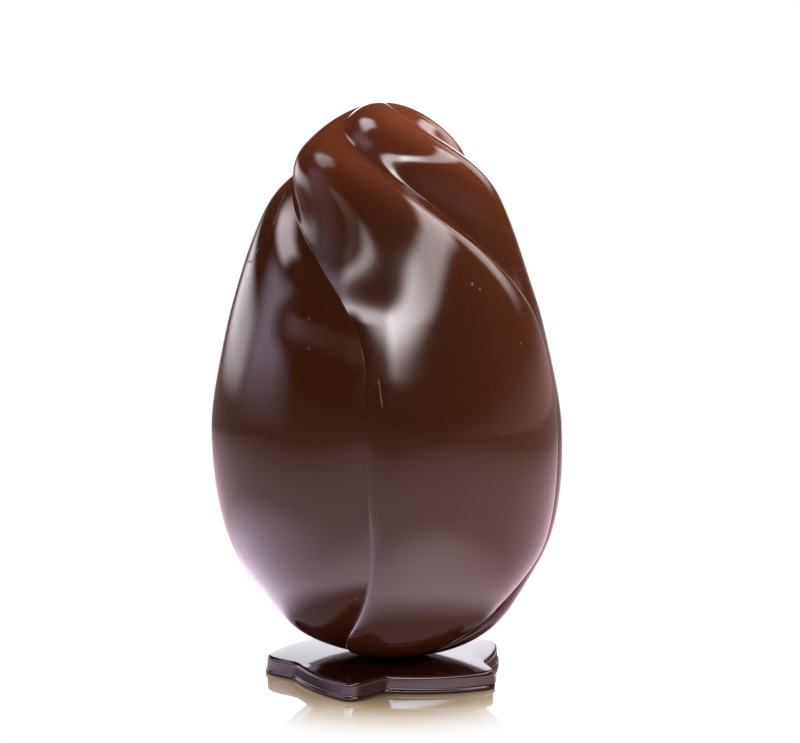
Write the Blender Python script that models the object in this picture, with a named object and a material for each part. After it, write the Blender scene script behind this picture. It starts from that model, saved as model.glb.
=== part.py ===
"""Moulded chocolate egg with four twisted lobes, standing on a small pinwheel-shaped chocolate foot.

Units are metres and +Z is up. The front faces -Y and the floor is at z = 0. Sizes are named below in
millimetres and angles in degrees. Angles round the egg start at the front and grow towards +X, and
angles round the foot start at +X and grow anticlockwise as seen from above.
"""

import math

import bmesh
import bpy

MM = 0.001

# Where the egg's axis meets the foot, so that the whole part is centred on the origin
AXIS_X, AXIS_Y = 1.69, 0.0

# Egg: overall form
EGG_HEIGHT = 190.0
BELLY_RADIUS = 61.8
BELLY_HEIGHT = 79.4
EGG_LEAN = -1.29
LOBES = 4

# Egg: reach of the four Bezier handles that draw its half outline
BOTTOM_HANDLE = 46.4
BELLY_HANDLE_DOWN = 40.8
BELLY_HANDLE_UP = 26.3
TOP_HANDLE = 37.1

# Egg: swelling of the lobes under the top and slight narrowing above the foot
SHOULDER_SWELL = 0.08
SHOULDER_HEIGHT = 168.9
SHOULDER_SPREAD = 13.3
WAIST_SWELL = -0.04
WAIST_HEIGHT = 21.5
WAIST_SPREAD = 11.4

# Egg: turn of the first crease, at the belly and what the top and the bottom add to it
BELLY_TURN = -6.8
TOP_TURN = -163.0
TOP_TURN_START = 99.3
TOP_TURN_POWER = 2.07
BOTTOM_TURN = -50.1
BOTTOM_TURN_START = 53.6
BOTTOM_TURN_POWER = 3.16

# Egg: depth of the creases as a share of the radius
BELLY_CREASE = 0.064
TOP_CREASE = 0.132
TOP_CREASE_START = 115.2
TOP_CREASE_RISE = 22.8
BOTTOM_CREASE = 0.14
BOTTOM_CREASE_START = 41.8
BOTTOM_CREASE_POWER = 1.3

# Egg: shape across one lobe, round over its crown and falling to a crease on each side, which is
# sharp at the top and bottom and soft round the belly
TOP_LOBE_POWER = 2.18
BOTTOM_LOBE_POWER = 3.0
TOP_LOBE_SKEW = 1.52
BOTTOM_LOBE_SKEW = 0.66
LOBE_BLEND_FROM, LOBE_BLEND_TO = 78.2, 172.7
CREASE_SOFTNESS = 0.8
SOFT_HEIGHT = 85.5
SOFT_SPREAD = 26.6

# Egg: mesh and the flat spot it stands on
COLUMNS_PER_LOBE = 16
CREASE_CROWDING = 0.55
ROWS_BELOW_BELLY = 32
ROWS_ABOVE_BELLY = 44
FLAT_SPOT = 0.05
GAP = 0.3
SHARP_EDGE_ANGLE = 30.0

# Foot: plate with five corners, each followed by a steep step inwards
FOOT_THICKNESS = 6.0
FOOT_CORNERS = ((184.0, 45.3), (249.0, 42.9), (322.0, 41.8), (382.0, 39.9), (463.0, 43.0))
FOOT_HOLLOWS = ((205.0, 37.2), (266.0, 30.8), (338.0, 33.9), (404.0, 33.0), (484.0, 34.5))
FOOT_RISE_POWER = 1.7
FOOT_ROUNDING = 3.0
FOOT_OUTLINE_POINTS = 120
FOOT_TOP_ROUND = 1.4
FOOT_SIDE_INSET = 0.6
FOOT_LIP_HEIGHT = 0.9
FOOT_UNDERCUT = 0.4
TOP_ROUND_STEPS = 4


def clear_scene():
    for item in list(bpy.data.objects):
        bpy.data.objects.remove(item, do_unlink=True)


def chocolate(name, colour, roughness):
    material = bpy.data.materials.new(name)
    material.use_nodes = True
    shader = material.node_tree.nodes["Principled BSDF"]
    shader.inputs["Base Color"].default_value = (*colour, 1.0)
    shader.inputs["Roughness"].default_value = roughness
    shader.inputs["Metallic"].default_value = 0.0
    return material


def clamp(value):
    return max(0.0, min(1.0, value))


def smooth(value):
    value = clamp(value)
    return value * value * (3.0 - 2.0 * value)


def bezier(t, start, handle_a, handle_b, end):
    s = 1.0 - t
    return start * s**3 + 3.0 * handle_a * t * s**2 + 3.0 * handle_b * t**2 * s + end * t**3


def bell(height, centre, spread):
    return math.exp(-(((height - centre) / spread) ** 2))


def half_outline(t):
    """Radius over the lobes' crowns and height, for t from 0 (bottom) by 1 (belly) to 2 (top)."""
    if t <= 1.0:
        radius = bezier(t, 0.0, BOTTOM_HANDLE, BELLY_RADIUS, BELLY_RADIUS)
        height = bezier(t, 0.0, 0.0, BELLY_HEIGHT - BELLY_HANDLE_DOWN, BELLY_HEIGHT)
    else:
        radius = bezier(t - 1.0, BELLY_RADIUS, BELLY_RADIUS, TOP_HANDLE, 0.0)
        height = bezier(t - 1.0, BELLY_HEIGHT, BELLY_HEIGHT + BELLY_HANDLE_UP, EGG_HEIGHT, EGG_HEIGHT)
    swell = SHOULDER_SWELL * bell(height, SHOULDER_HEIGHT, SHOULDER_SPREAD)
    swell += WAIST_SWELL * bell(height, WAIST_HEIGHT, WAIST_SPREAD)
    return radius * (1.0 + swell), height


def crease_turn(height):
    """Angle of the first crease at a height."""
    up = clamp((height - TOP_TURN_START) / (EGG_HEIGHT - TOP_TURN_START))
    down = clamp((BOTTOM_TURN_START - height) / BOTTOM_TURN_START)
    return BELLY_TURN + TOP_TURN * up**TOP_TURN_POWER + BOTTOM_TURN * down**BOTTOM_TURN_POWER


def crease_depth(height):
    """Depth of the creases at a height, as a share of the radius."""
    up = max(0.0, height - TOP_CREASE_START) / TOP_CREASE_RISE
    down = clamp((BOTTOM_CREASE_START - height) / BOTTOM_CREASE_START)
    top = TOP_CREASE * (1.0 - math.exp(-(up**2)))
    return BELLY_CREASE + top + BOTTOM_CREASE * down**BOTTOM_CREASE_POWER


def lobe_fall(across, height):
    """How far the surface has fallen from a lobe's crown (0) to the crease (1)."""
    blend = smooth((height - LOBE_BLEND_FROM) / (LOBE_BLEND_TO - LOBE_BLEND_FROM))
    power = BOTTOM_LOBE_POWER + (TOP_LOBE_POWER - BOTTOM_LOBE_POWER) * blend
    skew = BOTTOM_LOBE_SKEW + (TOP_LOBE_SKEW - BOTTOM_LOBE_SKEW) * blend
    place = across**skew
    sharp = abs(2.0 * place - 1.0) ** power
    soft = 0.5 + 0.5 * math.cos(2.0 * math.pi * place)
    softness = CREASE_SOFTNESS * bell(height, SOFT_HEIGHT, SOFT_SPREAD)
    return sharp + (soft - sharp) * softness


def egg_point(t, lobe, across):
    """A point of the egg's surface, in millimetres, with z = 0 at the egg's underside."""
    radius, height = half_outline(t)
    radius *= 1.0 - crease_depth(height) * lobe_fall(across, height)
    angle = math.radians(crease_turn(height) + (lobe + across) * 360.0 / LOBES)
    lean = height * math.tan(math.radians(EGG_LEAN))
    return radius * math.sin(angle) + lean, -radius * math.cos(angle), height


def egg_rows():
    """Values of t from the rim of the flat spot to just below the top."""
    below = [FLAT_SPOT + (1.0 - FLAT_SPOT) * i / ROWS_BELOW_BELLY for i in range(ROWS_BELOW_BELLY)]
    above = [1.0 + i / ROWS_ABOVE_BELLY for i in range(ROWS_ABOVE_BELLY)]
    return below + above


def column_place(step):
    """Place of a column across its lobe, from 0 to 1, with columns closer together at the creases."""
    even = step / COLUMNS_PER_LOBE
    return even + CREASE_CROWDING * (0.5 - 0.5 * math.cos(math.pi * even) - even)


def ring_faces(bm, rings):
    for lower, upper in zip(rings, rings[1:]):
        for i, vert in enumerate(lower):
            j = (i + 1) % len(lower)
            bm.faces.new((vert, lower[j], upper[j], upper[i]))


def finish_object(name, bm, material, location):
    mesh = bpy.data.meshes.new(name)
    bm.to_mesh(mesh)
    bm.free()
    item = bpy.data.objects.new(name, mesh)
    item.location = location
    mesh.materials.append(material)
    mesh.shade_smooth()
    mesh.set_sharp_from_angle(angle=math.radians(SHARP_EDGE_ANGLE))
    bpy.context.collection.objects.link(item)
    return item


def build_egg():
    bm = bmesh.new()
    flat_height = half_outline(FLAT_SPOT)[1]
    rings = []
    for t in egg_rows():
        ring = []
        for column in range(LOBES * COLUMNS_PER_LOBE):
            lobe, step = divmod(column, COLUMNS_PER_LOBE)
            x, y, z = egg_point(t, lobe, column_place(step))
            ring.append(bm.verts.new((x * MM, y * MM, (z - flat_height) * MM)))
        rings.append(ring)
    ring_faces(bm, rings)
    bm.faces.new(list(reversed(rings[0])))
    x, y, z = egg_point(2.0, 0, 0.0)
    top = bm.verts.new((x * MM, y * MM, (z - flat_height) * MM))
    for i, vert in enumerate(rings[-1]):
        bm.faces.new((vert, rings[-1][(i + 1) % len(rings[-1])], top))
    material = chocolate("egg", (0.075, 0.022, 0.009), 0.16)
    location = (AXIS_X * MM, AXIS_Y * MM, (FOOT_THICKNESS + GAP) * MM)
    return finish_object("egg", bm, material, location)


def sharp_foot_radius(angle):
    """Distance of the foot's outline from the egg's axis before its corners are rounded."""
    count = len(FOOT_CORNERS)
    for i, (corner_angle, corner_radius) in enumerate(FOOT_CORNERS):
        hollow_angle, hollow_radius = FOOT_HOLLOWS[i]
        next_angle, next_radius = FOOT_CORNERS[(i + 1) % count]
        next_angle += 360.0 if i + 1 == count else 0.0
        turned = corner_angle + (angle - corner_angle) % 360.0
        if turned < hollow_angle:
            drop = smooth((turned - corner_angle) / (hollow_angle - corner_angle))
            return corner_radius + (hollow_radius - corner_radius) * drop
        if turned <= next_angle:
            rise = (turned - hollow_angle) / (next_angle - hollow_angle)
            return hollow_radius + (next_radius - hollow_radius) * rise**FOOT_RISE_POWER
    return FOOT_CORNERS[0][1]


def foot_radius(angle):
    """Outline with corners rounded by averaging over a few degrees to each side."""
    near = [-1.0, -0.5, 0.0, 0.5, 1.0]
    return sum(sharp_foot_radius(angle + FOOT_ROUNDING * step) for step in near) / len(near)


def foot_profile():
    """Inset from the outline and height, from the underside round the edge to the flat top."""
    profile = [(FOOT_UNDERCUT, 0.0), (0.0, 0.4), (0.0, FOOT_LIP_HEIGHT)]
    profile.append((FOOT_SIDE_INSET, FOOT_LIP_HEIGHT + 0.8))
    for i in range(TOP_ROUND_STEPS + 1):
        turn = 0.5 * math.pi * i / TOP_ROUND_STEPS
        inset = FOOT_SIDE_INSET + FOOT_TOP_ROUND * (1.0 - math.cos(turn))
        height = FOOT_THICKNESS - FOOT_TOP_ROUND * (1.0 - math.sin(turn))
        profile.append((inset, height))
    return profile


def build_foot():
    bm = bmesh.new()
    angles = [360.0 * i / FOOT_OUTLINE_POINTS for i in range(FOOT_OUTLINE_POINTS)]
    rings = []
    for inset, height in foot_profile():
        ring = []
        for angle in angles:
            radius = (foot_radius(angle) - inset) * MM
            turn = math.radians(angle)
            ring.append(bm.verts.new((radius * math.cos(turn), radius * math.sin(turn), height * MM)))
        rings.append(ring)
    ring_faces(bm, rings)
    bm.faces.new(list(reversed(rings[0])))
    bm.faces.new(rings[-1])
    material = chocolate("foot", (0.045, 0.014, 0.008), 0.2)
    return finish_object("foot", bm, material, (AXIS_X * MM, AXIS_Y * MM, 0.0))


clear_scene()
build_foot()
build_egg()
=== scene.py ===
"""Looks of the twisted chocolate egg on its pinwheel foot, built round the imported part.

Units are metres, +Z is up and the front faces -Y. Sizes are named in millimetres and angles in degrees.
Angles round the egg start at the front and grow towards +X, angles round the foot start at +X and grow
anticlockwise as seen from above, and heights of the egg are counted from its lowest point.
"""

import math

import bpy
import numpy as np
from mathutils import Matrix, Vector


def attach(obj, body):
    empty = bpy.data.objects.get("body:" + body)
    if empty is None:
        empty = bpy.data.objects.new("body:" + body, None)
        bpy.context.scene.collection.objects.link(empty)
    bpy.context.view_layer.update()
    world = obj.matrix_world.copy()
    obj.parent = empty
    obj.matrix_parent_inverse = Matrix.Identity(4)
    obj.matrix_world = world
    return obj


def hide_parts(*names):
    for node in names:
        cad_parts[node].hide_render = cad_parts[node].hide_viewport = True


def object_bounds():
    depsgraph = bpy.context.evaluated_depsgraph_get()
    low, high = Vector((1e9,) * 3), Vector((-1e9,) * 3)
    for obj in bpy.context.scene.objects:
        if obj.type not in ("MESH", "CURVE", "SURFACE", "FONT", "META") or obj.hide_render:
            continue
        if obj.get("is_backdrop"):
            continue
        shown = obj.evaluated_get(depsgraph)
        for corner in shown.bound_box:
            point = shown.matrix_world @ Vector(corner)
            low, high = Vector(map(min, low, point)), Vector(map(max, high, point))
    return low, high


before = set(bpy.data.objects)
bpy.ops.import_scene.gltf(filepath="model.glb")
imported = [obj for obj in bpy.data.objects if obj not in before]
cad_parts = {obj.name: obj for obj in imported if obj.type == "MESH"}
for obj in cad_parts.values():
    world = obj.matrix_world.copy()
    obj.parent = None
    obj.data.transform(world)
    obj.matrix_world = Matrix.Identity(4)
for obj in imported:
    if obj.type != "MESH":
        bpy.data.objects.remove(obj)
bounds_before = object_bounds()

MM = 0.001

# Where the egg's axis meets the foot
AXIS_X, AXIS_Y = 1.69, 0.0

# Egg: overall form
EGG_HEIGHT = 190.0
BELLY_RADIUS = 61.8
BELLY_HEIGHT = 79.4
EGG_LEAN = -1.29
LOBES = 4

# Egg: reach of the four Bezier handles that draw its half outline
BOTTOM_HANDLE = 46.4
BELLY_HANDLE_DOWN = 40.8
BELLY_HANDLE_UP = 26.3
TOP_HANDLE = 37.1

# Egg: swelling of the lobes under the top and slight narrowing above the foot
SHOULDER_SWELL = 0.08
SHOULDER_HEIGHT = 168.9
SHOULDER_SPREAD = 13.3
WAIST_SWELL = -0.04
WAIST_HEIGHT = 21.5
WAIST_SPREAD = 11.4

# Egg: turn of the first crease, at the belly and what the top and the bottom add to it
BELLY_TURN = -6.8
TOP_TURN = -163.0
TOP_TURN_START = 99.3
TOP_TURN_POWER = 2.07
BOTTOM_TURN = -50.1
BOTTOM_TURN_START = 53.6
BOTTOM_TURN_POWER = 3.16

# Egg: depth of the creases as a share of the radius
BELLY_CREASE = 0.064
TOP_CREASE = 0.132
TOP_CREASE_START = 115.2
TOP_CREASE_RISE = 22.8
BOTTOM_CREASE = 0.14
BOTTOM_CREASE_START = 41.8
BOTTOM_CREASE_POWER = 1.3

# Egg: shape across one lobe, round over its crown and falling to a crease on each side, which is
# sharp at the top and bottom and soft round the belly
TOP_LOBE_POWER = 2.18
BOTTOM_LOBE_POWER = 3.0
TOP_LOBE_SKEW = 1.52
BOTTOM_LOBE_SKEW = 0.66
LOBE_BLEND_FROM, LOBE_BLEND_TO = 78.2, 172.7
CREASE_SOFTNESS = 0.8
SOFT_HEIGHT = 85.5
SOFT_SPREAD = 26.6

# Egg: fineness of the visible mesh
COLUMNS_PER_LOBE = 120
CREASE_CROWDING = 0.55
ROWS_BELOW_BELLY = 150
ROWS_ABOVE_BELLY = 230
FLAT_SPOT = 0.05
GAP = 0.3

# Foot: plate with five corners, each followed by a steep step inwards
FOOT_THICKNESS = 6.0
FOOT_CORNERS = ((184.0, 45.3), (249.0, 42.9), (322.0, 41.8), (382.0, 39.9), (463.0, 43.0))
FOOT_HOLLOWS = ((205.0, 37.2), (266.0, 30.8), (338.0, 33.9), (404.0, 33.0), (484.0, 34.5))
FOOT_RISE_POWER = 1.7
FOOT_ROUNDING = 3.0
FOOT_OUTLINE_POINTS = 720
FOOT_TOP_ROUND = 1.4
FOOT_SIDE_INSET = 0.6
TOP_ROUND_STEPS = 10
FOOT_SHARP_ANGLE = 50.0

# Foot: lip round the lower edge, as inset and height from the underside up
FOOT_LIP = (
    (0.4, 0.0), (0.1, 0.12), (0.0, 0.4), (0.0, 0.75),
    (0.08, 1.0), (0.35, 1.25), (0.52, 1.5), (0.6, 1.8),
)

# Camera: seen from a little above, at the distance that the photograph's perspective asks for
PICTURE_WIDTH, PICTURE_HEIGHT = 800, 743
FOCAL_PIXELS = 1400.0
CAMERA_DISTANCE = 498.6
CAMERA_ELEVATION = 14.6
AXIS_PIXEL = (394.69, 651.64)
SENSOR_WIDTH = 36.0

# Chocolate: its brown, the darker clouds in it, the lighter brown of the top, which is painted light, and
# the heights in metres between which that painted light comes in
EGG_BROWN = (0.026, 0.0065, 0.0022)
EGG_DEEP_BROWN = (0.02, 0.0048, 0.0016)
EGG_TOP_LIT_BROWN = (0.066, 0.016, 0.0056)
FOOT_BROWN = (0.012, 0.003, 0.0015)
FOOT_DEEP_BROWN = (0.009, 0.002, 0.001)
TOP_PAINTED_LIGHT_HEIGHTS = (0.14, 0.195)
CLOUD_SCALE = 28.0

# Chocolate: gloss, with a fine grain in it, and light that goes a little way into it
EGG_ROUGHNESS = 0.09
FOOT_ROUGHNESS = 0.1
GRAIN_SCALE = 900.0
GRAIN_SPREAD = (0.8, 1.25)
CHOCOLATE_IOR = 1.5
SUBSURFACE_WEIGHT = 0.25
SUBSURFACE_RADIUS = (1.0, 0.3, 0.12)
SUBSURFACE_SCALE = 0.002

# Chocolate: scratches, chips and specks of the skin, and in the first row a painted highlight line, each
# from one place to another with its half width
MARKS = (
    # painted highlight: thin bright line along the crease on the left shoulder
    ((-35.3, -5.8, 165.4), (-38.4, -18.2, 153.8), 0.20),
    ((-43.3, -20.8, 145.5), (-45.2, -21.0, 141.4), 0.45),
    ((-45.2, -21.0, 141.4), (-47.9, -14.4, 141.4), 0.40),
    ((-47.9, -14.4, 141.4), (-50.1, -8.8, 138.6), 0.45),
    ((-3.3, -56.5, 104.9), (-2.1, -58.1, 96.5), 0.25),
    ((-11.0, -43.4, 34.3), (-3.0, -44.8, 29.7), 0.22),
    ((26.1, -43.6, 133.9), (26.1, -43.6, 134.2), 0.40),
    ((28.4, -42.6, 132.3), (28.4, -42.6, 132.6), 0.35),
    ((-24.9, -47.5, 123.1), (-24.9, -47.5, 123.4), 0.40),
    ((-25.0, -50.0, 113.8), (-25.0, -50.0, 114.1), 0.40),
    ((41.6, -37.4, 115.0), (41.6, -37.4, 115.3), 0.35),
    ((-49.2, -26.2, 48.1), (-47.0, -25.3, 42.9), 0.40),
    ((-47.0, -25.3, 42.9), (-42.0, -25.8, 36.0), 0.35),
    ((-48.4, -24.7, 44.8), (-45.3, -29.7, 44.4), 0.40),
)
MARK_AND_HIGHLIGHT_COLOUR = (0.075, 0.04, 0.026)
MARK_CORE = 0.3
MARK_RAGGED = 0.35
MARK_RAGGED_SCALE = 2500.0
MARK_DEPTH = 0.0003
MARK_RELIEF = 0.6

# Chocolate: painted shade on the gloss, places where the skin's reflection is dimmed, each from one place
# to another with the distances between which they end, and the share of the reflection that is left there
PAINTED_SHADE_AREAS = (
    ((-26.0, -47.9, 122.4), (-18.8, -52.7, 110.1), 9.0, 15.0),
    ((-13.0, -51.0, 121.0), (-11.0, -54.2, 107.8), 3.0, 6.5),
    ((-21.8, -27.5, 174.9), (-25.1, -30.6, 161.2), 9.0, 14.0),
    ((-25.1, -30.6, 161.2), (-20.7, -36.8, 148.3), 6.5, 12.0),
    ((-16.3, -35.4, 167.9), (-15.6, -41.4, 146.4), 6.0, 13.0),
)
PAINTED_SHADE_SHINE = (0.02, 0.015, 0.015)

# Floor, in metres: light that it gives off towards the egg, where that light is centred and how far it
# reaches, how dark the floor is near the foot, and soft brighter patches as place, edge and colour
FLOOR_REACH = 3.0
FLOOR_DROP = 0.0002
FLOOR_LIGHT = (1.05, 0.76, 0.92)
FLOOR_FAR_LIGHT = (0.28, 0.2, 0.2)
FLOOR_LIGHT_CENTRE = (0.0, -0.05)
FLOOR_LIGHT_EDGE = (0.1, 1.1)
FLOOR_SHADE = (0.046, 0.062, 0.14, 1.0)
FLOOR_GLOWS = (
    ((0.032, -0.084), (0.0, 0.1), (1.9, 1.5, 1.6)),
    ((-0.11, -0.005), (0.0, 0.17), (1.4, 1.4, 1.9)),
)

# Floor: what the camera sees, a mirror image that fades to white over a painted contact shadow, dark brown
# and tan where the board lies less open
WHITE = (1.0, 1.0, 1.0)
MIRROR_COLOUR = (0.38, 0.5, 0.67)
MIRROR_ROUGHNESS = 0.06
MIRROR_FADE = (0.042, 0.08)
CONTACT_SHADOW_REACH = 0.1
CONTACT_SHADOW_COLOURS = (
    (0.25, (0.05, 0.026, 0.014)),
    (0.5, (0.3, 0.21, 0.12)),
    (0.7, (0.62, 0.5, 0.34)),
    (0.9, (0.97, 0.95, 0.91)),
)

# Light strip: elevation that it climbs by and comes down by, half width and strength, each from one
# azimuth to another, and its soft edges
STRIP_CLIMB = (-35.0, 90.0, 22.5, 51.0)
STRIP_DESCENT = (110.0, 165.0, 0.0, -16.0)
STRIP_HALF_WIDTH = (-15.0, 30.0, 5.0, 6.5)
STRIP_SOFT = 3.0
STRIP_SPAN = (-15.0, 128.0, 6.0)
STRIP_STRENGTH = (-15.0, 35.0, 19.0, 6.5)
STRIP_COLOUR = (1.0, 0.93, 0.95)

# Light panels: azimuths with soft edge, elevations with soft edge, colour
PANELS = (
    ((-66.0, -14.0, 8.0), (20.5, 29.5, 2.5), (11.0, 10.3, 10.6)),
    ((-132.0, -90.0, 7.0), (50.0, 70.0, 5.0), (6.0, 5.5, 5.8)),
    ((-102.0, -64.0, 12.0), (6.0, 42.0, 9.0), (1.9, 1.75, 2.3)),
    ((-150.0, -106.0, 8.0), (5.0, 17.0, 4.0), (3.0, 2.8, 3.0)),
    ((124.0, 150.0, 6.0), (20.0, 44.0, 6.0), (2.2, 2.0, 2.0)),
    ((-180.0, 180.0, 1.0), (-12.0, 3.0, 7.0), (0.3, 0.21, 0.21)),
    ((60.0, 160.0, 30.0), (-8.0, 6.0, 7.0), (0.3, 0.2, 0.2)),
)

# White backdrop behind the egg, and the dim room round it
BACKDROP_EDGE = (158.0, 170.0)
BACKDROP_HEIGHTS = (6.0, 24.0, 3.0)
BACKDROP_COLOUR = (2.6, 2.6, 2.8)
ROOM_COLOUR = (0.06, 0.035, 0.025)

# Lights that warm the body of the chocolate without showing in its gloss: azimuth, elevation and strength,
# with their size and distance in metres
BODY_LIGHTS = (("right_fill", 85.0, 20.0, 17.0), ("back_fill", 140.0, 52.0, 26.0))
BODY_LIGHT_SIZE = 0.9
BODY_LIGHT_DISTANCE = 1.4


def smooth(value):
    value = np.clip(value, 0.0, 1.0)
    return value * value * (3.0 - 2.0 * value)


def bezier(t, start, handle_a, handle_b, end):
    s = 1.0 - t
    return start * s**3 + 3.0 * handle_a * t * s**2 + 3.0 * handle_b * t**2 * s + end * t**3


def bell(height, centre, spread):
    return np.exp(-(((height - centre) / spread) ** 2))


def half_outline(t):
    """Radius over the lobes' crowns and height, for t from 0 (bottom) by 1 (belly) to 2 (top)."""
    low, up = np.clip(t, 0.0, 1.0), np.clip(t - 1.0, 0.0, 1.0)
    low_radius = bezier(low, 0.0, BOTTOM_HANDLE, BELLY_RADIUS, BELLY_RADIUS)
    low_height = bezier(low, 0.0, 0.0, BELLY_HEIGHT - BELLY_HANDLE_DOWN, BELLY_HEIGHT)
    up_radius = bezier(up, BELLY_RADIUS, BELLY_RADIUS, TOP_HANDLE, 0.0)
    up_height = bezier(up, BELLY_HEIGHT, BELLY_HEIGHT + BELLY_HANDLE_UP, EGG_HEIGHT, EGG_HEIGHT)
    radius = np.where(t > 1.0, up_radius, low_radius)
    height = np.where(t > 1.0, up_height, low_height)
    swell = SHOULDER_SWELL * bell(height, SHOULDER_HEIGHT, SHOULDER_SPREAD)
    swell = swell + WAIST_SWELL * bell(height, WAIST_HEIGHT, WAIST_SPREAD)
    return radius * (1.0 + swell), height


def crease_turn(height):
    up = np.clip((height - TOP_TURN_START) / (EGG_HEIGHT - TOP_TURN_START), 0.0, 1.0)
    down = np.clip((BOTTOM_TURN_START - height) / BOTTOM_TURN_START, 0.0, 1.0)
    return BELLY_TURN + TOP_TURN * up**TOP_TURN_POWER + BOTTOM_TURN * down**BOTTOM_TURN_POWER


def crease_depth(height):
    up = np.clip(height - TOP_CREASE_START, 0.0, None) / TOP_CREASE_RISE
    down = np.clip((BOTTOM_CREASE_START - height) / BOTTOM_CREASE_START, 0.0, 1.0)
    top = TOP_CREASE * (1.0 - np.exp(-(up**2)))
    return BELLY_CREASE + top + BOTTOM_CREASE * down**BOTTOM_CREASE_POWER


def lobe_fall(across, height):
    blend = smooth((height - LOBE_BLEND_FROM) / (LOBE_BLEND_TO - LOBE_BLEND_FROM))
    power = BOTTOM_LOBE_POWER + (TOP_LOBE_POWER - BOTTOM_LOBE_POWER) * blend
    skew = BOTTOM_LOBE_SKEW + (TOP_LOBE_SKEW - BOTTOM_LOBE_SKEW) * blend
    place = across**skew
    sharp = np.abs(2.0 * place - 1.0) ** power
    soft = 0.5 + 0.5 * np.cos(2.0 * np.pi * place)
    softness = CREASE_SOFTNESS * bell(height, SOFT_HEIGHT, SOFT_SPREAD)
    return sharp + (soft - sharp) * softness


def egg_points(t, lobe, across):
    """Points of the egg's surface in millimetres, with z = 0 at its lowest point."""
    radius, height = half_outline(t)
    radius = radius * (1.0 - crease_depth(height) * lobe_fall(across, height))
    angle = np.radians(crease_turn(height) + (lobe + across) * 360.0 / LOBES)
    lean = height * math.tan(math.radians(EGG_LEAN))
    level = height + np.zeros_like(angle)
    return np.stack([radius * np.sin(angle) + lean, -radius * np.cos(angle), level], axis=-1)


def ring_mesh(name, rings, tip=None):
    """A closed mesh from rings of points of equal count, from the bottom up, with a flat top or a tip."""
    count = rings.shape[1]
    points = rings.reshape(-1, 3)
    start = np.arange(rings.shape[0] - 1)[:, None] * count + np.arange(count)[None, :]
    following = np.arange(rings.shape[0] - 1)[:, None] * count + (np.arange(count)[None, :] + 1) % count
    quads = np.stack([start, following, following + count, start + count], axis=-1).reshape(-1, 4)
    faces = [tuple(int(v) for v in quad) for quad in quads]
    faces.append(tuple(range(count - 1, -1, -1)))
    last = (rings.shape[0] - 1) * count
    if tip is not None:
        points = np.vstack([points, tip])
        faces += [(last + i, last + (i + 1) % count, len(points) - 1) for i in range(count)]
    else:
        faces.append(tuple(range(last, last + count)))
    mesh = bpy.data.meshes.new(name)
    mesh.from_pydata([tuple(p) for p in points * MM], [], faces)
    mesh.validate()
    mesh.shade_smooth()
    item = bpy.data.objects.new(name, mesh)
    bpy.context.collection.objects.link(item)
    return item


def build_egg():
    flat_height = float(half_outline(np.array(FLAT_SPOT))[1])
    below = FLAT_SPOT + (1.0 - FLAT_SPOT) * np.arange(ROWS_BELOW_BELLY) / ROWS_BELOW_BELLY
    above = 1.0 + np.arange(ROWS_ABOVE_BELLY) / ROWS_ABOVE_BELLY
    rows = np.concatenate([below, above])[:, None]
    even = np.arange(COLUMNS_PER_LOBE) / COLUMNS_PER_LOBE
    crowded = 0.5 - 0.5 * np.cos(math.pi * even)
    across = (1.0 - CREASE_CROWDING) * even + CREASE_CROWDING * crowded
    columns = np.tile(across, LOBES)[None, :]
    lobe = np.repeat(np.arange(LOBES), COLUMNS_PER_LOBE)[None, :]
    rings = egg_points(rows, lobe, columns)
    tip = egg_points(np.array([2.0]), np.array([0.0]), np.array([0.0]))
    place = np.array([AXIS_X, AXIS_Y, FOOT_THICKNESS + GAP - flat_height])
    return ring_mesh("egg_shell", rings + place, tip=tip + place)


def sharp_foot_radius(angle):
    count = len(FOOT_CORNERS)
    for i, (corner_angle, corner_radius) in enumerate(FOOT_CORNERS):
        hollow_angle, hollow_radius = FOOT_HOLLOWS[i]
        next_angle, next_radius = FOOT_CORNERS[(i + 1) % count]
        next_angle += 360.0 if i + 1 == count else 0.0
        turned = corner_angle + (angle - corner_angle) % 360.0
        if turned < hollow_angle:
            drop = float(smooth((turned - corner_angle) / (hollow_angle - corner_angle)))
            return corner_radius + (hollow_radius - corner_radius) * drop
        if turned <= next_angle:
            rise = (turned - hollow_angle) / (next_angle - hollow_angle)
            return hollow_radius + (next_radius - hollow_radius) * rise**FOOT_RISE_POWER
    return FOOT_CORNERS[0][1]


def foot_radius(angle):
    near = [-1.0, -0.5, 0.0, 0.5, 1.0]
    return sum(sharp_foot_radius(angle + FOOT_ROUNDING * step) for step in near) / len(near)


def foot_profile():
    """Inset from the outline and height, from the underside round the edge to the flat top."""
    profile = list(FOOT_LIP)
    for i in range(TOP_ROUND_STEPS + 1):
        turn = 0.5 * math.pi * i / TOP_ROUND_STEPS
        inset = FOOT_SIDE_INSET + FOOT_TOP_ROUND * (1.0 - math.cos(turn))
        height = FOOT_THICKNESS - FOOT_TOP_ROUND * (1.0 - math.sin(turn))
        profile.append((inset, height))
    return profile


def build_foot():
    angles = np.linspace(0.0, 360.0, FOOT_OUTLINE_POINTS, endpoint=False)
    outline = np.array([foot_radius(angle) for angle in angles])
    turn = np.radians(angles)
    rings = []
    for inset, height in foot_profile():
        radius = outline - inset
        level = np.full_like(turn, height)
        rings.append(np.stack([radius * np.cos(turn), radius * np.sin(turn), level], axis=-1))
    place = np.array([AXIS_X, AXIS_Y, 0.0])
    item = ring_mesh("foot_plate", np.array(rings) + place)
    item.data.set_sharp_from_angle(angle=math.radians(FOOT_SHARP_ANGLE))
    return item


def node(tree, kind, **inputs):
    item = tree.nodes.new(kind)
    for name, value in inputs.items():
        item.inputs[name.replace("_", " ")].default_value = value
    return item


def math_node(tree, operation, first, second=None, third=None):
    """Socket with the result of a math node; each value is a socket or a number."""
    item = node(tree, "ShaderNodeMath")
    item.operation = operation
    for place, value in enumerate((first, second, third)):
        if isinstance(value, bpy.types.NodeSocket):
            tree.links.new(value, item.inputs[place])
        elif value is not None:
            item.inputs[place].default_value = value
    return item.outputs[0]


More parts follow.
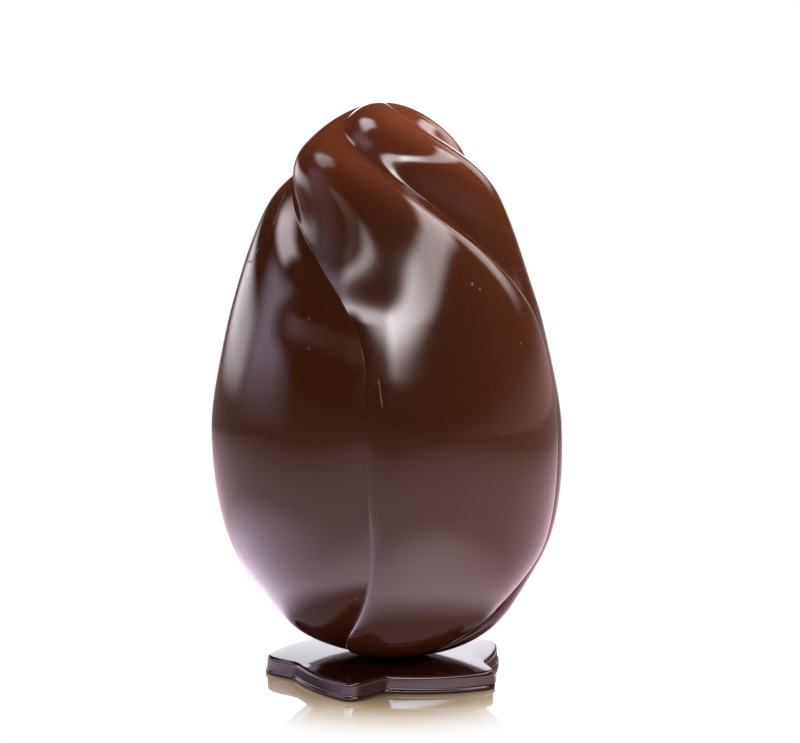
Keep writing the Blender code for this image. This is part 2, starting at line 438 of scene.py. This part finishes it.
def ramp(tree, value, start, end, low=0.0, high=1.0):
    """Socket that runs smoothly from one value to another."""
    item = node(tree, "ShaderNodeMapRange")
    item.interpolation_type = "SMOOTHSTEP"
    for name, number in (("From Min", start), ("From Max", end), ("To Min", low), ("To Max", high)):
        item.inputs[name].default_value = number
    tree.links.new(value, item.inputs["Value"])
    return item.outputs["Result"]


def window(tree, value, start, end, soft):
    """Socket that is 1 between two values and fades to 0 over a soft edge on each side."""
    rise = ramp(tree, value, start - soft, start + soft)
    fall = ramp(tree, value, end - soft, end + soft, 1.0, 0.0)
    return math_node(tree, "MULTIPLY", rise, fall)


def tinted(tree, strength, colour):
    item = node(tree, "ShaderNodeVectorMath")
    item.operation = "SCALE"
    item.inputs[0].default_value = colour
    tree.links.new(strength, item.inputs["Scale"])
    return item.outputs[0]


def plain_colour(tree, colour):
    item = node(tree, "ShaderNodeCombineXYZ", X=colour[0], Y=colour[1], Z=colour[2])
    return item.outputs[0]


def total(tree, colours):
    result = colours[0]
    for colour in colours[1:]:
        item = node(tree, "ShaderNodeVectorMath")
        item.operation = "ADD"
        tree.links.new(result, item.inputs[0])
        tree.links.new(colour, item.inputs[1])
        result = item.outputs[0]
    return result


def mixed(tree, factor, first, second):
    """Socket that goes from the first colour to the second; each colour is a socket or three numbers."""
    item = node(tree, "ShaderNodeMix")
    item.data_type = "RGBA"
    for name, value in (("A", first), ("B", second)):
        if isinstance(value, bpy.types.NodeSocket):
            tree.links.new(value, item.inputs[name])
        else:
            item.inputs[name].default_value = (*value, 1.0)
    tree.links.new(factor, item.inputs["Factor"])
    return item.outputs["Result"]


def near_line(tree, place, start, end, inner, outer, ragged=0.0):
    """Socket that is 1 within the inner distance of a line and fades to 0 at the outer distance."""
    start, end = Vector(start) * MM, Vector(end) * MM
    from_start = node(tree, "ShaderNodeVectorMath")
    from_start.operation = "SUBTRACT"
    from_start.inputs[1].default_value = start
    tree.links.new(place, from_start.inputs[0])
    along = node(tree, "ShaderNodeVectorMath")
    along.operation = "DOT_PRODUCT"
    along.inputs[1].default_value = (end - start) / (end - start).length_squared
    tree.links.new(from_start.outputs[0], along.inputs[0])
    share = math_node(tree, "MINIMUM", math_node(tree, "MAXIMUM", along.outputs["Value"], 0.0), 1.0)
    away = node(tree, "ShaderNodeVectorMath")
    away.operation = "DISTANCE"
    tree.links.new(from_start.outputs[0], away.inputs[0])
    tree.links.new(tinted(tree, share, end - start), away.inputs[1])
    distance = math_node(tree, "ADD", away.outputs["Value"], ragged)
    return ramp(tree, distance, inner * MM, outer * MM, 1.0, 0.0)


def greatest(tree, values):
    result = values[0]
    for value in values[1:]:
        result = math_node(tree, "MAXIMUM", result, value)
    return result


def add_marks(tree, place, marks):
    """Sockets with the share of scuffed skin and painted highlight line, and with the relief that the marks
    leave in it.
    """
    rough = node(tree, "ShaderNodeTexNoise", Scale=MARK_RAGGED_SCALE, Detail=2.0)
    tree.links.new(place, rough.inputs["Vector"])
    reach = MARK_RAGGED * MM
    ragged = math_node(tree, "MULTIPLY_ADD", rough.outputs["Fac"], 2.0 * reach, -reach)
    masks = []
    for start, end, half_width in marks:
        masks.append(near_line(tree, place, start, end, MARK_CORE * half_width, half_width, ragged))
    most = greatest(tree, masks)
    relief = node(tree, "ShaderNodeBump", Strength=MARK_RELIEF, Distance=MARK_DEPTH)
    relief.invert = True
    tree.links.new(most, relief.inputs["Height"])
    return most, relief.outputs["Normal"]


def chocolate(name, colour, deep_colour, lit_top_colour, roughness, marks=(), shaded_areas=()):
    """Tempered dark chocolate: brown body, made lighter and redder towards the top by painted light, with a
    glossy skin.
    """
    material = bpy.data.materials.new(name)
    material.use_nodes = True
    tree = material.node_tree
    shader = tree.nodes["Principled BSDF"]
    place = node(tree, "ShaderNodeTexCoord").outputs["Object"]
    cloud = node(tree, "ShaderNodeTexNoise", Scale=CLOUD_SCALE, Detail=3.0, Roughness=0.5)
    tree.links.new(place, cloud.inputs["Vector"])
    brown = mixed(tree, cloud.outputs["Fac"], colour, deep_colour)
    parts = node(tree, "ShaderNodeSeparateXYZ")
    tree.links.new(place, parts.inputs[0])
    # painted light: the brown turns lighter and redder towards the top
    brown = mixed(tree, ramp(tree, parts.outputs["Z"], *TOP_PAINTED_LIGHT_HEIGHTS), brown, lit_top_colour)

    grain = node(tree, "ShaderNodeTexNoise", Scale=GRAIN_SCALE, Detail=2.0, Roughness=0.5)
    tree.links.new(place, grain.inputs["Vector"])
    spread = node(tree, "ShaderNodeMapRange")
    spread.inputs["To Min"].default_value = roughness * GRAIN_SPREAD[0]
    spread.inputs["To Max"].default_value = roughness * GRAIN_SPREAD[1]
    tree.links.new(grain.outputs["Fac"], spread.inputs["Value"])
    tree.links.new(spread.outputs["Result"], shader.inputs["Roughness"])

    # painted shade: the skin's reflection is dimmed in the listed places
    if shaded_areas:
        painted_shade = greatest(tree, [near_line(tree, place, *area) for area in shaded_areas])
        tree.links.new(mixed(tree, painted_shade, WHITE, PAINTED_SHADE_SHINE), shader.inputs["Specular Tint"])
    if marks:
        scuffed_and_highlit, relief = add_marks(tree, place, marks)
        # lighter brown for the scuffs and for the painted highlight line
        brown = mixed(tree, scuffed_and_highlit, brown, MARK_AND_HIGHLIGHT_COLOUR)
        tree.links.new(relief, shader.inputs["Normal"])
    tree.links.new(brown, shader.inputs["Base Color"])
    shader.inputs["IOR"].default_value = CHOCOLATE_IOR
    shader.inputs["Subsurface Weight"].default_value = SUBSURFACE_WEIGHT
    shader.inputs["Subsurface Radius"].default_value = SUBSURFACE_RADIUS
    shader.inputs["Subsurface Scale"].default_value = SUBSURFACE_SCALE
    return material


def floor_distance(tree, across, along, centre):
    dx = math_node(tree, "SUBTRACT", across, centre[0])
    dy = math_node(tree, "SUBTRACT", along, centre[1])
    squares = math_node(tree, "MULTIPLY_ADD", dx, dx, math_node(tree, "MULTIPLY", dy, dy))
    return math_node(tree, "SQRT", squares)


def floor_glow(tree, across, along, centre, edge, colour):
    """Round patch of light on the floor that fades out between the two distances of its edge."""
    distance = floor_distance(tree, across, along, centre)
    return tinted(tree, ramp(tree, distance, *edge, 1.0, 0.0), colour)


def floor_material():
    """White board: the camera sees a faint mirror image in it over a painted tan contact shadow, other rays
    see its lit surface.
    """
    material = bpy.data.materials.new("floor_board")
    material.use_nodes = True
    tree = material.node_tree
    tree.nodes.clear()
    out = node(tree, "ShaderNodeOutputMaterial")
    place = node(tree, "ShaderNodeTexCoord")
    parts = node(tree, "ShaderNodeSeparateXYZ")
    tree.links.new(place.outputs["Object"], parts.inputs[0])
    x, y = parts.outputs["X"], parts.outputs["Y"]

    near = floor_glow(tree, x, y, FLOOR_LIGHT_CENTRE, FLOOR_LIGHT_EDGE, FLOOR_LIGHT)
    glows = [floor_glow(tree, x, y, *glow) for glow in FLOOR_GLOWS]
    far = plain_colour(tree, FLOOR_FAR_LIGHT)
    bright = node(tree, "ShaderNodeEmission")
    tree.links.new(total(tree, [near, far] + glows), bright.inputs["Color"])
    from_foot = floor_distance(tree, x, y, (0.0, 0.0))
    tree.links.new(ramp(tree, from_foot, *FLOOR_SHADE), bright.inputs["Strength"])

    fade = ramp(tree, from_foot, *MIRROR_FADE, 1.0, 0.0)
    # painted shadow: dark brown and tan where the egg and the foot close the board in
    contact = node(tree, "ShaderNodeAmbientOcclusion", Distance=CONTACT_SHADOW_REACH)
    shade = node(tree, "ShaderNodeValToRGB")
    while len(shade.color_ramp.elements) < len(CONTACT_SHADOW_COLOURS):
        shade.color_ramp.elements.new(0.5)
    for element, (position, colour) in zip(shade.color_ramp.elements, CONTACT_SHADOW_COLOURS):
        element.position = position
        element.color = (*colour, 1.0)
    tree.links.new(contact.outputs["AO"], shade.inputs["Fac"])
    # the painted shadow's colour, given off by the board itself
    body = node(tree, "ShaderNodeEmission", Strength=1.0)
    tree.links.new(shade.outputs["Color"], body.inputs["Color"])
    shine = node(tree, "ShaderNodeBsdfGlossy", Color=(*MIRROR_COLOUR, 1.0), Roughness=MIRROR_ROUGHNESS)
    mirror = node(tree, "ShaderNodeAddShader")
    tree.links.new(body.outputs[0], mirror.inputs[0])
    tree.links.new(shine.outputs[0], mirror.inputs[1])
    white = node(tree, "ShaderNodeEmission", Color=(*WHITE, 1.0), Strength=1.0)
    faded = node(tree, "ShaderNodeMixShader")
    tree.links.new(fade, faded.inputs[0])
    tree.links.new(white.outputs[0], faded.inputs[1])
    tree.links.new(mirror.outputs[0], faded.inputs[2])

    seen = node(tree, "ShaderNodeLightPath")
    pick = node(tree, "ShaderNodeMixShader")
    tree.links.new(seen.outputs["Is Camera Ray"], pick.inputs[0])
    tree.links.new(bright.outputs[0], pick.inputs[1])
    tree.links.new(faded.outputs[0], pick.inputs[2])
    tree.links.new(pick.outputs[0], out.inputs["Surface"])
    return material


def build_floor():
    mesh = bpy.data.meshes.new("floor_board")
    corners = [(-FLOOR_REACH, -FLOOR_REACH, 0.0), (FLOOR_REACH, -FLOOR_REACH, 0.0)]
    corners += [(FLOOR_REACH, FLOOR_REACH, 0.0), (-FLOOR_REACH, FLOOR_REACH, 0.0)]
    mesh.from_pydata(corners, [], [(0, 1, 2, 3)])
    item = bpy.data.objects.new("floor_board", mesh)
    item.location.z = -FLOOR_DROP
    mesh.materials.append(floor_material())
    bpy.context.collection.objects.link(item)
    return item


def build_world():
    """Studio of soft lights, placed by azimuth from the front towards +X and by elevation, in degrees."""
    world = bpy.data.worlds.new("studio")
    bpy.context.scene.world = world
    world.use_nodes = True
    tree = world.node_tree
    tree.nodes.clear()
    out = node(tree, "ShaderNodeOutputWorld")
    place = node(tree, "ShaderNodeTexCoord")
    parts = node(tree, "ShaderNodeSeparateXYZ")
    tree.links.new(place.outputs["Generated"], parts.inputs[0])
    front = math_node(tree, "MULTIPLY", parts.outputs["Y"], -1.0)
    turn = math_node(tree, "ARCTAN2", parts.outputs["X"], front)
    azimuth = math_node(tree, "MULTIPLY", turn, math.degrees(1.0))
    rise = math_node(tree, "ARCSINE", parts.outputs["Z"])
    elevation = math_node(tree, "MULTIPLY", rise, math.degrees(1.0))

    # Long strip that starts low at the front and climbs towards the right
    climb = ramp(tree, azimuth, *STRIP_CLIMB)
    descent = ramp(tree, azimuth, *STRIP_DESCENT)
    above = math_node(tree, "SUBTRACT", elevation, math_node(tree, "ADD", climb, descent))
    half_width = ramp(tree, azimuth, *STRIP_HALF_WIDTH)
    inside = math_node(tree, "SUBTRACT", half_width, math_node(tree, "ABSOLUTE", above))
    strip = ramp(tree, inside, -STRIP_SOFT, STRIP_SOFT)
    strip = math_node(tree, "MULTIPLY", strip, window(tree, azimuth, *STRIP_SPAN))
    strip = math_node(tree, "MULTIPLY", strip, ramp(tree, azimuth, *STRIP_STRENGTH))
    lights = [tinted(tree, strip, STRIP_COLOUR)]
    for span, heights, colour in PANELS:
        across, upwards = window(tree, azimuth, *span), window(tree, elevation, *heights)
        mask = math_node(tree, "MULTIPLY", across, upwards)
        lights.append(tinted(tree, mask, colour))
    behind = ramp(tree, math_node(tree, "ABSOLUTE", azimuth), *BACKDROP_EDGE)
    behind = math_node(tree, "MULTIPLY", behind, window(tree, elevation, *BACKDROP_HEIGHTS))
    lights.append(tinted(tree, behind, BACKDROP_COLOUR))
    lights.append(plain_colour(tree, ROOM_COLOUR))

    studio = node(tree, "ShaderNodeBackground", Strength=1.0)
    tree.links.new(total(tree, lights), studio.inputs["Color"])
    white = node(tree, "ShaderNodeBackground", Color=(*WHITE, 1.0), Strength=1.0)
    seen = node(tree, "ShaderNodeLightPath")
    pick = node(tree, "ShaderNodeMixShader")
    tree.links.new(seen.outputs["Is Camera Ray"], pick.inputs[0])
    tree.links.new(studio.outputs[0], pick.inputs[1])
    tree.links.new(white.outputs[0], pick.inputs[2])
    tree.links.new(pick.outputs[0], out.inputs["Surface"])


def body_light(name, azimuth, elevation, strength):
    """Square area light that faces the middle of the egg and isn't seen in reflections."""
    a, e = math.radians(azimuth), math.radians(elevation)
    towards = Vector((math.sin(a) * math.cos(e), -math.cos(a) * math.cos(e), math.sin(e)))
    data = bpy.data.lights.new(name, "AREA")
    data.shape = "SQUARE"
    data.size = BODY_LIGHT_SIZE
    data.energy = strength * BODY_LIGHT_SIZE**2 * math.pi
    item = bpy.data.objects.new(name, data)
    item.location = Vector((0.0, 0.0, 0.5 * EGG_HEIGHT * MM)) + towards * BODY_LIGHT_DISTANCE
    item.rotation_euler = towards.to_track_quat("Z", "Y").to_euler()
    item.visible_glossy = False
    bpy.context.collection.objects.link(item)


def build_camera():
    elevation = math.radians(CAMERA_ELEVATION)
    pitch = elevation - math.atan((AXIS_PIXEL[1] - PICTURE_HEIGHT / 2) / FOCAL_PIXELS)
    yaw = math.atan((AXIS_PIXEL[0] - PICTURE_WIDTH / 2) / FOCAL_PIXELS)
    look = Vector((-math.sin(yaw) * math.cos(pitch), math.cos(yaw) * math.cos(pitch), -math.sin(pitch)))
    aim = Vector((AXIS_X, AXIS_Y, FOOT_THICKNESS)) * MM
    back = Vector((0.0, -math.cos(elevation), math.sin(elevation)))
    data = bpy.data.cameras.new("camera")
    data.sensor_fit = "HORIZONTAL"
    data.sensor_width = SENSOR_WIDTH
    data.lens = FOCAL_PIXELS / PICTURE_WIDTH * SENSOR_WIDTH
    data.clip_start, data.clip_end = 0.01, 20.0
    item = bpy.data.objects.new("camera", data)
    item.location = aim + back * CAMERA_DISTANCE * MM
    item.rotation_euler = look.to_track_quat("-Z", "Y").to_euler()
    bpy.context.collection.objects.link(item)
    bpy.context.scene.camera = item


egg = build_egg()
egg_browns = (EGG_BROWN, EGG_DEEP_BROWN, EGG_TOP_LIT_BROWN)
egg.data.materials.append(chocolate("egg_chocolate", *egg_browns, EGG_ROUGHNESS, MARKS, PAINTED_SHADE_AREAS))
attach(egg, "root")
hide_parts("egg")

foot = build_foot()
foot_browns = (FOOT_BROWN, FOOT_DEEP_BROWN, FOOT_BROWN)
foot.data.materials.append(chocolate("foot_chocolate", *foot_browns, FOOT_ROUGHNESS))
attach(foot, "root")
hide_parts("foot")

build_floor()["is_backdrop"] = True
build_world()
for light in BODY_LIGHTS:
    body_light(*light)
build_camera()
bpy.context.scene.view_settings.view_transform = "Standard"

sizes = {"before": bounds_before, "after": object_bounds()}
sizes = {name: [[float(value) for value in corner] for corner in box] for name, box in sizes.items()}
